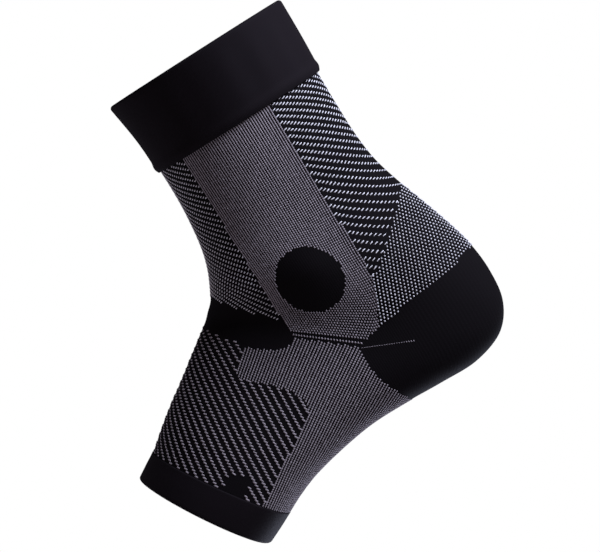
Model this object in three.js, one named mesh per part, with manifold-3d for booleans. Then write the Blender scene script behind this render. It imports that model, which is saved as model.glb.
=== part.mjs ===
// Compression ankle sleeve with an open toe and a closed heel, in the form it has when worn.
// Units are millimetres. The origin is the middle of the ankle joint, midway between the two ankle discs.
// +Z runs up the leg, -X points to the toes, and -Y is the outer side of a left foot.
// The knitted wall is one lofted tube. Its stitch zones are separate solids, cut out of that wall along
// borders drawn in the side view, with a narrow seam between neighbours. The two end bands are rings.
import * as THREE from "three";
import { mergeVertices } from "three/addons/utils/BufferGeometryUtils.js";
import Module from "manifold-3d";

const wasm = await Module();
wasm.setup();

// Reach of the worn form from the ankle's middle
const CUFF_REACH = 117; // up to the fold of the calf cuff
const SOLE_DROP = 75.7; // down to the underside of the heel
const HEEL_REACH = 72.6; // back to the roundest point of the heel
const SHIN_REACH = 33.1; // forward to the shin, where the leg is narrowest
const ACHILLES_REACH = 53.7; // back to the tendon, where the leg is narrowest
const CALF_FLARE = 2.4; // how much fuller the cuff's end is than that, in front and behind
const RIM_REACH = 119.2; // forward to the upper edge of the toe opening
const RIM_DROP = 37.9; // down to that edge
const LOWER_RIM_REACH = 82.7; // forward to the lower edge of the toe opening
const LOWER_RIM_DROP = 95.4; // down to that edge

// Width of the worn form, side to side
const CALF_WIDTH = 84;
const ANKLE_WIDTH = 66;
const HEEL_WIDTH = 66;
const BALL_WIDTH = 88;
const BONE_RISE = 3.2; // swell over each ankle bone
const BONE_SPREAD = 13;

// Knit
const KNIT = 1.4; // thickness of the wall
const PANEL_RISE = 0.3; // how far the denser stirrup and arch knit stands proud
const SEAM = 0.3; // clearance between neighbouring zones

// Calf cuff: a doubled welt whose outer layer laps down over the wall
const CUFF_HEIGHT = 39.5;
const CUFF_LAYER = 1.1; // thickness of the lapping layer
const CUFF_LAP = 9; // how far down it laps
const HEM_BEAD = 0.5; // how far its rolled hem stands proud
const HEM_SAG = 1.5; // how much lower the hem lies at the sides

// Toe band: a doubled welt round the ball of the foot
const TOE_BAND_HEIGHT = 16;
const TOE_BAND_THICKNESS = 2.2;
const TOE_BAND_PROUD = 0.4;

// Zones, in the side view
const STIRRUP_FRONT = 21; // from the ankle's middle forward to the stirrup's edge
const STIRRUP_BACK = 26; // and back to its other edge
const DISC_WIDTH = 29.5;
const DISC_HEIGHT = 33;
const DISC_LEAN = 28; // degrees that the disc's long axis leans towards the toes
const BAND_TIP = 9.5; // down to where the instep band meets the stirrup
const BAND_TIP_HEIGHT = 9.5; // height of the band's blunt tip there
const HEEL_CUP_FRONT = 2.5; // from the ankle's middle back to the heel cup's front corner
const HEEL_CUP_DROP = 38.5; // and down to it

// Facets
const COLUMNS = 36; // round the tube
const LEG_ROWS = 6; // down the leg, from the cuff to where it is narrowest
const FOOT_ROWS = 25; // from there over the heel to the toe band
const BORDER_STEP = 7; // length of a facet along a curved border
const DISC_SIDES = 20;
const BEYOND = 250; // outside of the whole sleeve

// Places along the reaches above, as shares of them
const ahead = (share) => -(SHIN_REACH + share * (RIM_REACH - SHIN_REACH));
const behind = (share) => ACHILLES_REACH + share * (HEEL_REACH - ACHILLES_REACH);
const heelward = (share) => share * HEEL_REACH;
const toeward = (share) => -share * LOWER_RIM_REACH;
const up = (share) => share * CUFF_REACH;
const down = (share) => -share * SOLE_DROP;
const instep = (share) => -share * RIM_DROP;
const under = (share) => -SOLE_DROP - share * (LOWER_RIM_DROP - SOLE_DROP);

// Each section runs from its front point, on the shin or instep, to its back point, on the tendon, heel or
// sole. widest is where between them the tube is widest: -1 in front, 1 behind.
// nose and tail shape its front and back: under 1 is squarer than an ellipse, over 1 sharper.
const COLUMN_NAMES = ["frontX", "frontZ", "backX", "backZ", "width", "widest", "nose", "tail"];
const SECTIONS = [
  [ahead(0) - CALF_FLARE, up(1), behind(0) + CALF_FLARE, up(1), CALF_WIDTH, 0.05, 0.95, 1],
  [ahead(0), up(0.82), behind(0.08), up(0.82), 0.95 * CALF_WIDTH, 0.02, 0.95, 1.02],
  [ahead(-0.005), up(0.66), behind(0.025), up(0.66), 0.9 * CALF_WIDTH, -0.02, 0.95, 1.05],
  [ahead(0), up(0.52), behind(0), up(0.51), 0.85 * CALF_WIDTH, -0.05, 0.93, 1.1],
  [ahead(0.017), up(0.4), behind(0), up(0.38), 1.03 * ANKLE_WIDTH, -0.08, 0.93, 1.15],
  [ahead(0.039), up(0.31), behind(0.07), up(0.26), ANKLE_WIDTH, -0.1, 0.93, 1.18],
  [ahead(0.071), up(0.236), behind(0.25), up(0.145), 1.01 * ANKLE_WIDTH, -0.1, 0.95, 1.18],
  [ahead(0.113), up(0.172), behind(0.5), up(0.02), 1.04 * ANKLE_WIDTH, -0.06, 0.97, 1.14],
  [ahead(0.145), up(0.132), behind(0.74), down(0.16), 1.06 * ANKLE_WIDTH, 0, 1, 1.08],
  [ahead(0.17), up(0.112), behind(0.94), down(0.36), 1.05 * HEEL_WIDTH, 0.06, 1, 1.02],
  [ahead(0.189), up(0.1), behind(1), down(0.57), 1.03 * HEEL_WIDTH, 0.1, 1, 0.96],
  [ahead(0.206), up(0.088), behind(0.87), down(0.775), 1.01 * HEEL_WIDTH, 0.14, 1, 0.92],
  [ahead(0.22), up(0.078), heelward(0.84), down(0.93), 1.01 * HEEL_WIDTH, 0.18, 1, 0.88],
  [ahead(0.239), up(0.066), heelward(0.615), down(1), 1.03 * HEEL_WIDTH, 0.22, 1, 0.82],
  [ahead(0.277), up(0.046), heelward(0.355), down(0.995), 1.06 * HEEL_WIDTH, 0.26, 1, 0.76],
  [ahead(0.332), up(0.018), heelward(0.095), down(0.98), 1.08 * HEEL_WIDTH, 0.3, 1, 0.72],
  [ahead(0.414), instep(0.075), toeward(0.142), down(0.977), 0.83 * BALL_WIDTH, 0.32, 1, 0.7],
  [ahead(0.518), instep(0.242), toeward(0.352), under(0.02), 0.865 * BALL_WIDTH, 0.32, 0.98, 0.7],
  [ahead(0.643), instep(0.434), toeward(0.557), under(0.2), 0.91 * BALL_WIDTH, 0.3, 0.96, 0.7],
  [ahead(0.753), instep(0.62), toeward(0.693), under(0.4), 0.95 * BALL_WIDTH, 0.28, 0.95, 0.72],
  [ahead(0.854), instep(0.8), toeward(0.805), under(0.62), 0.98 * BALL_WIDTH, 0.25, 0.95, 0.74],
  [ahead(0.927), instep(0.9), toeward(0.904), under(0.82), 0.995 * BALL_WIDTH, 0.22, 0.95, 0.76],
  [ahead(1), instep(1), toeward(1), under(1), BALL_WIDTH, 0.2, 0.95, 0.78],
].map((row) => Object.fromEntries(row.map((value, i) => [COLUMN_NAMES[i], value])));
const LAST = SECTIONS.length - 1;
const NARROWEST = 5; // the section at the narrowest of the leg, below which the facets are closer

// A column's smooth value between the sections
function between(column, at) {
  const i = Math.min(Math.max(Math.floor(at), 0), LAST - 1);
  const u = at - i;
  const value = (k) => {
    if (k < 0) return 2 * SECTIONS[0][column] - SECTIONS[1][column];
    if (k > LAST) return 2 * SECTIONS[LAST][column] - SECTIONS[LAST - 1][column];
    return SECTIONS[k][column];
  };
  const [p0, p1, p2, p3] = [i - 1, i, i + 1, i + 2].map(value);
  return p1 + 0.5 * u * (p2 - p0 + u * (2 * p0 - 5 * p1 + 4 * p2 - p3 + u * (3 * (p1 - p2) + p3 - p0)));
}

// The worn form's surface: at counts the sections, and turn goes once round from the front, outer side first
function form(at, turn) {
  const row = COLUMN_NAMES.map((column) => between(column, at));
  const [frontX, frontZ, backX, backZ, width, widest, nose, tail] = row;
  const angle = 2 * Math.PI * turn;
  const straight = -Math.cos(angle);
  const along = (1 + straight + widest * (1 - straight * straight)) / 2;
  const squareness = nose + ((tail - nose) * (1 + straight)) / 2;
  const side = -Math.sign(Math.sin(angle)) * Math.abs(Math.sin(angle)) ** squareness;
  const [x, z] = [frontX + along * (backX - frontX), frontZ + along * (backZ - frontZ)];
  const swell = BONE_RISE * Math.exp(-(x * x + z * z) / (2 * BONE_SPREAD * BONE_SPREAD));
  return new THREE.Vector3(x, side * (width / 2 + swell), z);
}

// The same surface moved outwards by offset, square to itself
function skin(at, turn, offset) {
  const nudge = 1e-3;
  const alongLeg = form(at + nudge, turn).sub(form(at - nudge, turn));
  const round = form(at, turn + nudge).sub(form(at, turn - nudge));
  const outward = alongLeg.cross(round).normalize();
  return form(at, turn).addScaledVector(outward, offset);
}

// The place, counted in sections, where a measure that falls towards the toes reaches a value
function placeOf(measure, value) {
  let [before, after] = [-0.5, LAST];
  for (let i = 0; i < 40; i++) {
    const middle = (before + after) / 2;
    if (measure(middle) > value) before = middle;
    else after = middle;
  }
  return before;
}
const levelOf = (height) => placeOf((at) => between("frontZ", at), height);

// The place at a distance back from the toe opening, measured along the foot's middle
function placeFromRim(distance) {
  const middle = (at) => form(at, 0).add(form(at, 0.5)).divideScalar(2);
  return placeOf((at) => middle(at).distanceTo(middle(LAST)), distance);
}

// A closed ring of facets: pointAt(i, k) gives corner i of the profile at column k
function ring(corners, pointAt) {
  const positions = [];
  const index = [];
  for (let i = 0; i < corners; i++)
    for (let k = 0; k < COLUMNS; k++) positions.push(...pointAt(i, k / COLUMNS).toArray());
  for (let i = 0; i < corners; i++)
    for (let k = 0; k < COLUMNS; k++) {
      const [a, b] = [i * COLUMNS + k, i * COLUMNS + ((k + 1) % COLUMNS)];
      const [c, d] = [a, b].map((n) => (n + COLUMNS) % (corners * COLUMNS));
      index.push(a, c, b, b, c, d);
    }
  const geometry = new THREE.BufferGeometry();
  geometry.setAttribute("position", new THREE.Float32BufferAttribute(positions, 3));
  return geometry.setIndex(index);
}

function solidOf(geometry) {
  const bare = geometry.clone();
  bare.deleteAttribute("normal");
  bare.deleteAttribute("uv");
  const merged = mergeVertices(bare, 1e-4);
  return new wasm.Manifold(
    new wasm.Mesh({
      numProp: 3,
      vertProperties: merged.attributes.position.array,
      triVerts: new Uint32Array(merged.index.array),
    }),
  );
}

function geometryOf(solid) {
  const mesh = solid.getMesh();
  const geometry = new THREE.BufferGeometry();
  geometry.setAttribute("position", new THREE.Float32BufferAttribute(mesh.vertProperties, 3));
  return geometry.setIndex(new THREE.Uint32BufferAttribute(mesh.triVerts, 1));
}

// The knitted wall from under the cuff to the toe band, its face raised by rise
const hemHeight = CUFF_REACH - CUFF_HEIGHT;
const lapHeight = hemHeight + CUFF_LAP;
function wall(rise) {
  const [start, end] = [levelOf(lapHeight), placeFromRim(TOE_BAND_HEIGHT)];
  const places = [];
  for (let i = 0; i < LEG_ROWS; i++) places.push(start + ((NARROWEST - start) * i) / LEG_ROWS);
  for (let i = 0; i <= FOOT_ROWS; i++) places.push(NARROWEST + ((end - NARROWEST) * i) / FOOT_ROWS);
  const rows = places.length;
  return solidOf(
    ring(2 * rows, (i, turn) =>
      i < rows ? skin(places[i], turn, rise) : skin(places[2 * rows - 1 - i], turn, -KNIT),
    ),
  );
}

// A smooth line through points [x, z] in the side view
function curve(points) {
  const spline = new THREE.SplineCurve(points.map((p) => new THREE.Vector2(...p)));
  const steps = Math.max(2, Math.round(spline.getLength() / BORDER_STEP));
  return spline.getSpacedPoints(steps).map((p) => p.toArray());
}

// Pulls a closed outline in by a distance, each edge square to itself
function inset(outline, distance) {
  const points = outline
    .filter((p, i) => Math.hypot(p[0] - outline.at(i - 1)[0], p[1] - outline.at(i - 1)[1]) > 0.01)
    .map((p) => new THREE.Vector2(...p));
  if (THREE.ShapeUtils.area(points) < 0) points.reverse();
  const inward = (a, b) => new THREE.Vector2(a.y - b.y, b.x - a.x).normalize();
  return points.map((p, i) => {
    const before = inward(points.at(i - 1), p);
    const after = inward(p, points[(i + 1) % points.length]);
    const middle = before.clone().add(after);
    return p.clone().addScaledVector(middle, (2 * distance) / middle.lengthSq());
  });
}

// An outline of the side view as a prism across the sleeve, from side to side or over one side only
function prism(outline, [from, to] = [-BEYOND, BEYOND]) {
  const shape = new THREE.Shape(outline);
  const geometry = new THREE.ExtrudeGeometry(shape, { depth: to - from, bevelEnabled: false });
  return solidOf(geometry.rotateX(Math.PI / 2).translate(0, to, 0));
}
const OUTER_SIDE = [-BEYOND, 0];
const INNER_SIDE = [0, BEYOND];

// Borders of the zones. Each runs away from the stirrup, or down it.
const bandTopCorner = [-STIRRUP_FRONT, -BAND_TIP];
const bandLowCorner = [-STIRRUP_FRONT, -BAND_TIP - BAND_TIP_HEIGHT];
const heelCorner = [HEEL_CUP_FRONT, -HEEL_CUP_DROP];
const stirrupFoot = [0.6 * STIRRUP_BACK, -0.92 * HEEL_CUP_DROP];
const meshCorner = [0.97 * STIRRUP_BACK, down(0.188)];
const lobeTop = [ahead(0.11), down(0.146)];
const lobeHeel = [ahead(0.002), down(0.68)];

const stirrupFrontEdge = [
  [-0.95 * STIRRUP_FRONT, BEYOND],
  [-0.95 * STIRRUP_FRONT, hemHeight],
  [-STIRRUP_FRONT, 0],
  bandTopCorner,
];
const stirrupBackEdge = [
  [1.08 * STIRRUP_BACK, BEYOND],
  [1.08 * STIRRUP_BACK, hemHeight],
  [1.01 * STIRRUP_BACK, up(0.3)],
  meshCorner,
];
const stirrupHeelEdge = curve([meshCorner, [0.82 * STIRRUP_BACK, down(0.31)], stirrupFoot]);
const courseLine = [bandLowCorner, heelCorner]; // where the leg's knit turns into the foot's
const bandTop = [
  ...curve([bandTopCorner, [ahead(-0.02), up(0.004)], [ahead(0.042), up(0.056)], [ahead(0.136), up(0.146)]]),
  [ahead(0.45), up(0.36)],
];
const bandHeelEdge = curve([
  bandLowCorner,
  [ahead(-0.088), down(0.274)],
  [ahead(0.008), down(0.232)],
  lobeTop,
]);
const bandToeEdge = [
  ...curve([lobeTop, [ahead(0.148), down(0.07)], [ahead(0.212), up(0.007)], [ahead(0.246), up(0.059)]]),
  [ahead(0.49), up(0.32)],
];
const lobe = [
  lobeTop,
  ...curve([
    [ahead(0.222), down(0.226)],
    [ahead(0.226), down(0.28)],
    [ahead(0.18), down(0.335)],
    [ahead(0.09), down(0.43)],
    [ahead(0.032), down(0.51)],
    [ahead(-0.004), down(0.59)],
    lobeHeel,
  ]),
];
const archEdge = [lobeHeel, [ahead(1.48), down(1.69)]];
const heelTopFront = [heelCorner, stirrupFoot];
const heelTopBack = [
  ...curve([
    stirrupFoot,
    [heelward(0.432), -0.88 * HEEL_CUP_DROP],
    [heelward(0.707), -0.84 * HEEL_CUP_DROP],
    [heelward(0.99), -0.74 * HEEL_CUP_DROP],
  ]),
  [BEYOND, -0.5 * HEEL_CUP_DROP],
];
const heelToe = [
  ...curve([
    heelCorner,
    [0.7 * HEEL_CUP_FRONT, down(0.6)],
    [heelward(0.035), down(0.74)],
    [heelward(0.12), down(0.95)],
  ]),
  [heelward(0.21), down(1.15)],
  [heelward(0.21), -BEYOND],
];
const meshTop = [
  ...curve([
    meshCorner,
    [heelward(0.43), down(0.143)],
    [heelward(0.534), down(0.061)],
    [heelward(0.71), up(0.052)],
    [heelward(0.8), up(0.108)],
  ]),
  [BEYOND, up(1.2)],
];

const back = (border) => [...border].reverse();
const aheadOfToes = ahead(1.48);
const stirrupBack = [...back(stirrupHeelEdge), ...back(stirrupBackEdge)];
const archToe = [...back(archEdge), ...back(lobe), ...back(bandHeelEdge)];
const ZONES = {
  stirrup: [...stirrupFrontEdge, ...courseLine, stirrupFoot, ...stirrupBack],
  shin: [...stirrupFrontEdge, ...bandTop, [aheadOfToes, up(0.36)], [aheadOfToes, BEYOND]],
  instepBand: [bandTopCorner, ...bandHeelEdge, ...bandToeEdge, ...back(bandTop)],
  forefoot: [...back(bandToeEdge), ...lobe, ...archEdge, [aheadOfToes, up(0.32)]],
  arch: [...courseLine, ...heelToe, [aheadOfToes, -BEYOND], ...archToe],
  heel: [...heelTopFront, ...heelTopBack, [BEYOND, -BEYOND], ...back(heelToe)],
  mesh: [...stirrupHeelEdge, ...heelTopBack, ...back(meshTop)],
  achilles: [...stirrupBackEdge, ...meshTop, [BEYOND, BEYOND]],
};

const group = new THREE.Group();
function add(name, geometry, { color, roughness }) {
  const mesh = new THREE.Mesh(geometry, new THREE.MeshStandardMaterial({ color, roughness, metalness: 0 }));
  mesh.name = name;
  group.add(mesh);
}

const BLACK_WELT = { color: 0x17161a, roughness: 0.7 };
const BLACK_KNIT = { color: 0x141416, roughness: 0.8 };
const RIB_KNIT = { color: 0x39363c, roughness: 0.85 };
const DOTTED_KNIT = { color: 0x4b484f, roughness: 0.85 };
const PANEL_KNIT = { color: 0x5a565e, roughness: 0.8 };

const knitWall = wall(0);
const panelWall = wall(PANEL_RISE);
const zone = (source, outline, side) => source.intersect(prism(inset(outline, SEAM / 2), side));

// The ankle disc's outline, grown by a clearance
function discOutline(grow) {
  const [width, height] = [DISC_WIDTH / 2 + grow, DISC_HEIGHT / 2 + grow];
  const lean = THREE.MathUtils.degToRad(DISC_LEAN);
  const ellipse = new THREE.EllipseCurve(0, 0, width, height, 0, 2 * Math.PI, false, lean);
  return ellipse.getSpacedPoints(DISC_SIDES).slice(0, -1);
}

// A welt's folded edge, half round, from its outer face over to its inner one
function foldedEdge(outer, inner, edge) {
  const middle = (inner + outer) / 2;
  const half = (outer - inner) / 2;
  return [90, 45, 0, -45, -90].map((degrees) => {
    const angle = THREE.MathUtils.degToRad(degrees);
    return [middle + half * Math.sin(angle), edge - half + half * Math.cos(angle)];
  });
}

// The cuff's inner layer carries on up from the wall. Its outer layer folds over and laps down on the wall.
function calfCuff() {
  const lap = PANEL_RISE + SEAM;
  const [inner, outer] = [-KNIT, lap + CUFF_LAYER];
  const halfway = hemHeight + 0.55 * CUFF_HEIGHT;
  const hem = [
    [lap, hemHeight + 2 * CUFF_LAYER],
    [lap, hemHeight + 0.4 * CUFF_LAYER],
    [lap + 0.5 * CUFF_LAYER, hemHeight],
    [outer + HEM_BEAD, hemHeight + 0.8 * CUFF_LAYER],
    [outer + 0.2 * HEM_BEAD, hemHeight + 2.6 * CUFF_LAYER],
  ];
  const rest = [
    [outer, lapHeight],
    [outer, halfway],
    ...foldedEdge(outer, inner, CUFF_REACH),
    [inner, halfway],
    [inner, lapHeight + SEAM],
    [lap, lapHeight + SEAM],
  ];
  const profile = [...rest.reverse(), ...hem.reverse()];
  return ring(profile.length, (i, turn) => {
    const [offset, height] = profile[i];
    const sag = i < rest.length ? 0 : (HEM_SAG * (1 - Math.cos(4 * Math.PI * turn))) / 2;
    return skin(levelOf(height - sag), turn, offset);
  });
}

function toeBand() {
  const [inner, outer] = [TOE_BAND_PROUD - TOE_BAND_THICKNESS, TOE_BAND_PROUD];
  const halfway = TOE_BAND_HEIGHT / 2;
  const profile = [
    [outer, SEAM],
    [outer, halfway],
    ...foldedEdge(outer, inner, TOE_BAND_HEIGHT),
    [inner, halfway],
    [inner, SEAM],
  ];
  return ring(profile.length, (i, turn) => {
    const [offset, reach] = profile[i];
    return skin(placeFromRim(TOE_BAND_HEIGHT - reach), turn, offset);
  });
}

add("calf_cuff", calfCuff(), BLACK_WELT);
add("toe_band", toeBand(), BLACK_WELT);
add("shin_rib_panel", geometryOf(zone(knitWall, ZONES.shin)), RIB_KNIT);
add("achilles_rib_panel", geometryOf(zone(knitWall, ZONES.achilles)), RIB_KNIT);
add("forefoot_rib_panel", geometryOf(zone(knitWall, ZONES.forefoot)), RIB_KNIT);
add("achilles_mesh_panel", geometryOf(zone(knitWall, ZONES.mesh)), DOTTED_KNIT);
add("instep_band", geometryOf(zone(knitWall, ZONES.instepBand)), BLACK_KNIT);
add("heel_cup", geometryOf(zone(knitWall, ZONES.heel)), BLACK_KNIT);
add("arch_wrap", geometryOf(zone(panelWall, ZONES.arch)), PANEL_KNIT);
for (const [side, reach] of [["outer", OUTER_SIDE], ["inner", INNER_SIDE]]) {
  const hole = prism(discOutline(SEAM / 2), reach);
  add(`${side}_stirrup`, geometryOf(zone(panelWall, ZONES.stirrup, reach).subtract(hole)), PANEL_KNIT);
  add(`${side}_ankle_disc`, geometryOf(knitWall.intersect(prism(discOutline(-SEAM / 2), reach))), BLACK_KNIT);
}

export default group;
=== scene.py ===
"""Compression ankle sleeve, dressed over its fixed frame.

The sleeve's wall is cut into its zones along the borders of the side view. Every pale stitch is a
short length of yarn of its own, laid on a chart of wales and courses that is wrapped round the
worn form.
"""

import math

import bpy
import numpy as np
from bpy.props import FloatProperty, FloatVectorProperty, IntProperty, PointerProperty
from mathutils import Matrix, Vector


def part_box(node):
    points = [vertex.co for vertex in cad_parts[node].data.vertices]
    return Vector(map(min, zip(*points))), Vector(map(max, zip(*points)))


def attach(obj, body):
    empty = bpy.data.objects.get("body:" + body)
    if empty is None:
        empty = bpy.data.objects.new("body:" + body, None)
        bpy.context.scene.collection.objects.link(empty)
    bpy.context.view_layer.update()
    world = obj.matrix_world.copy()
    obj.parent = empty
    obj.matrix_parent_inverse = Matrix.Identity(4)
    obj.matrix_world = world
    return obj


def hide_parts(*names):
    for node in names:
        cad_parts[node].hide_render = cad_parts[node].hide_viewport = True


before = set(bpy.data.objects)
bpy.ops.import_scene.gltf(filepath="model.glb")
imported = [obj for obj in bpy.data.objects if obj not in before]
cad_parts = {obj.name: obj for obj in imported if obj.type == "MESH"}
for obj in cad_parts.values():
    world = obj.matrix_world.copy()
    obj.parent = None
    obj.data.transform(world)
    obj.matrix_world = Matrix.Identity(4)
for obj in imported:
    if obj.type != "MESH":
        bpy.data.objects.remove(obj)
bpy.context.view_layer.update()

bl_info = {
    "name": "Ankle sleeve",
    "version": (1, 0, 0),
    "blender": (4, 5, 0),
    "location": "View3D > Sidebar > Sleeve",
    "description": "Models a knitted compression ankle sleeve, stitch by stitch",
    "category": "Add Mesh",
}

MM = 0.001
LAP = 9 * MM  # how far the cuff's outer layer laps down over the wall
SEAM = 0.3 * MM  # between neighbouring pieces
BEYOND = 0.25  # outside of the whole sleeve, in any direction


def linear(code):
    """The linear colour of an sRGB hex code."""
    parts = [int(code[i : i + 2], 16) / 255 for i in (1, 3, 5)]
    return [c / 12.92 if c <= 0.04045 else ((c + 0.055) / 1.055) ** 2.4 for c in parts]


def length_mm(name, description, default):
    """A length, with its default in millimetres."""
    return FloatProperty(
        name=name, description=description, default=default * MM, unit="LENGTH", precision=4
    )


def colour_property(name, description, code):
    return FloatVectorProperty(
        name=name,
        description=description,
        default=linear(code),
        subtype="COLOR",
        size=3,
        min=0,
        max=1,
    )


class SleeveForm(bpy.types.PropertyGroup):
    """Sizes of the worn form, measured from the middle of the ankle joint."""

    cuff_reach: FloatProperty(
        name="Cuff reach",
        description="Up to the fold of the calf cuff",
        default=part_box("calf_cuff")[1][2],
        unit="LENGTH",
    )
    sole_drop: length_mm("Sole drop", "Down to the underside of the heel", 75.7)
    heel_reach: length_mm("Heel reach", "Back to the roundest point of the heel", 72.6)
    shin_reach: length_mm("Shin reach", "Forward to the shin, at its narrowest", 33.1)
    achilles_reach: length_mm("Achilles reach", "Back to the tendon, at its narrowest", 53.7)
    calf_flare: length_mm("Calf flare", "How much fuller the cuff's end is, front and back", 2.4)
    rim_reach: length_mm("Rim reach", "Forward to the upper edge of the toe opening", 119.2)
    rim_drop: length_mm("Rim drop", "Down to the upper edge of the toe opening", 37.9)
    lower_rim_reach: length_mm("Lower rim reach", "Forward to the lower edge of the opening", 82.7)
    lower_rim_drop: length_mm("Lower rim drop", "Down to the lower edge of the toe opening", 95.4)
    calf_width: length_mm("Calf width", "Side to side at the cuff", 84)
    ankle_width: length_mm("Ankle width", "Side to side above the ankle bones", 66)
    heel_width: length_mm("Heel width", "Side to side at the heel", 66)
    ball_width: length_mm("Ball width", "Side to side at the toe band", 88)
    bone_rise: length_mm("Bone rise", "Swell over each ankle bone", 3.2)
    bone_spread: length_mm("Bone spread", "How wide that swell is", 13)
    cuff_height: length_mm("Cuff height", "From the cuff's hem to its fold", 38.3)
    toe_band_height: length_mm("Toe band height", "Along the foot", 16)
    stirrup_front: length_mm("Stirrup front", "Forward to the stirrup's edge", 21)
    stirrup_back: length_mm("Stirrup back", "Back to the stirrup's other edge", 26)
    disc_width: length_mm("Disc width", "Width of the ankle disc", 29.5)
    disc_height: length_mm("Disc height", "Height of the ankle disc", 33)
    band_tip: length_mm("Band tip", "Down to where the instep band meets the stirrup", 9.5)
    band_tip_height: length_mm("Band tip height", "Height of the band's blunt tip", 9.5)
    heel_cup_front: length_mm("Heel cup front", "Back to the heel cup's front corner", 2.5)
    heel_cup_drop: length_mm("Heel cup drop", "Down to the heel cup's front corner", 38.5)


class SleeveKnit(bpy.types.PropertyGroup):
    """Gauge and yarn of the knit."""

    columns: IntProperty(
        name="Columns",
        description="Faces round the sleeve's wall, a multiple of four",
        default=192,
        min=96,
        max=288,
    )
    leg_courses: IntProperty(
        name="Leg courses", description="Rows from the cuff to the heel", default=115, min=40
    )
    leg_wale: length_mm("Leg wale", "Width of a stitch at the calf", 1.25)
    ankle_wale: length_mm("Ankle wale", "Width of a stitch at the ankle", 1.1)
    arch_wale: length_mm("Arch wale", "Width of a stitch at the arch", 1.5)
    toe_wale: length_mm("Toe wale", "Width of a stitch at the toe band", 1.32)
    foot_course: length_mm("Foot course", "Height of a stitch in the foot", 1.06)
    dot_wale: length_mm("Dot wale", "Width of a stitch's place in the dotted knit", 1.7)
    dot_course: length_mm("Dot course", "Height of a stitch's place in the dotted knit", 0.8)
    wall: length_mm("Wall", "Thickness of the knit", 1.4)
    panel_rise: length_mm("Panel rise", "How far the denser support knit stands proud", 0.3)
    shin_dash: length_mm("Shin dash", "Length of a float on the shin", 1.3)
    tendon_dash: length_mm("Tendon dash", "Length of a float over the tendon", 2.2)
    foot_dash: length_mm("Foot dash", "Length of a float on the forefoot", 2.15)
    dash_width: length_mm("Dash width", "Width of a float on the leg", 0.5)
    foot_dash_width: length_mm("Foot dash width", "Width of a float on the forefoot", 0.74)
    dot_length: length_mm("Dot length", "Length of a stitch in the dotted knit", 0.82)
    dot_width: length_mm("Dot width", "Width of a stitch in the dotted knit", 0.68)
    side_loop_length: length_mm("Side loop length", "Length of a stitch in the stirrups", 0.94)
    side_loop_width: length_mm("Side loop width", "Width of a stitch in the stirrups", 0.68)
    arch_loop_length: length_mm("Arch loop length", "Length of a stitch in the arch wrap", 1.08)
    arch_loop_width: length_mm("Arch loop width", "Width of a stitch in the arch wrap", 0.68)
    welt_layer: length_mm("Welt layer", "Thickness of the cuff's lapping layer", 1.1)
    hem_bead: length_mm("Hem bead", "How far the cuff's rolled hem stands proud", 0.5)
    hem_sag: length_mm("Hem sag", "How much lower the hem lies at the sides", 0.3)
    toe_thickness: length_mm("Toe band thickness", "Thickness of the doubled toe band", 2.2)
    toe_proud: length_mm("Toe band rise", "How far the toe band stands proud", 0.4)


class SleeveColours(bpy.types.PropertyGroup):
    """Yarn colours."""

    black: colour_property("Black", "Dope-dyed black nylon of the ground knit", "#0c0a0c")
    welt: colour_property("Welt", "Black nylon and elastane of the two welts", "#110e11")
    pale: colour_property("Pale yarn", "Pale grey yarn of the ribs and dots", "#a9a7ad")
    # The support yarn's grey also paints shade: the forefoot's pale floats are drawn in it, darker
    # than the shin's and the tendon's
    support: colour_property("Support yarn", "Grey polyester yarn of the support zones", "#726b71")


# The worn form ------------------------------------------------------------------------------------


def unit(vectors):
    return vectors / np.linalg.norm(vectors, axis=-1, keepdims=True)


def catmull_rom(p0, p1, p2, p3, u):
    bend = 2 * p0 - 5 * p1 + 4 * p2 - p3
    return p1 + 0.5 * u * (p2 - p0 + u * (bend + u * (3 * (p1 - p2) + p3 - p0)))


class Reach:
    """Places along the form's reaches, as shares of them."""

    def __init__(self, f):
        def along(start, end):
            return lambda share: start + share * (end - start)

        self.ahead = along(-f.shin_reach, -f.rim_reach)
        self.behind = along(f.achilles_reach, f.heel_reach)
        self.heelward = along(0, f.heel_reach)
        self.toeward = along(0, -f.lower_rim_reach)
        self.up = along(0, f.cuff_reach)
        self.down = along(0, -f.sole_drop)
        self.instep = along(0, -f.rim_drop)
        self.under = along(-f.sole_drop, -f.lower_rim_drop)


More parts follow.
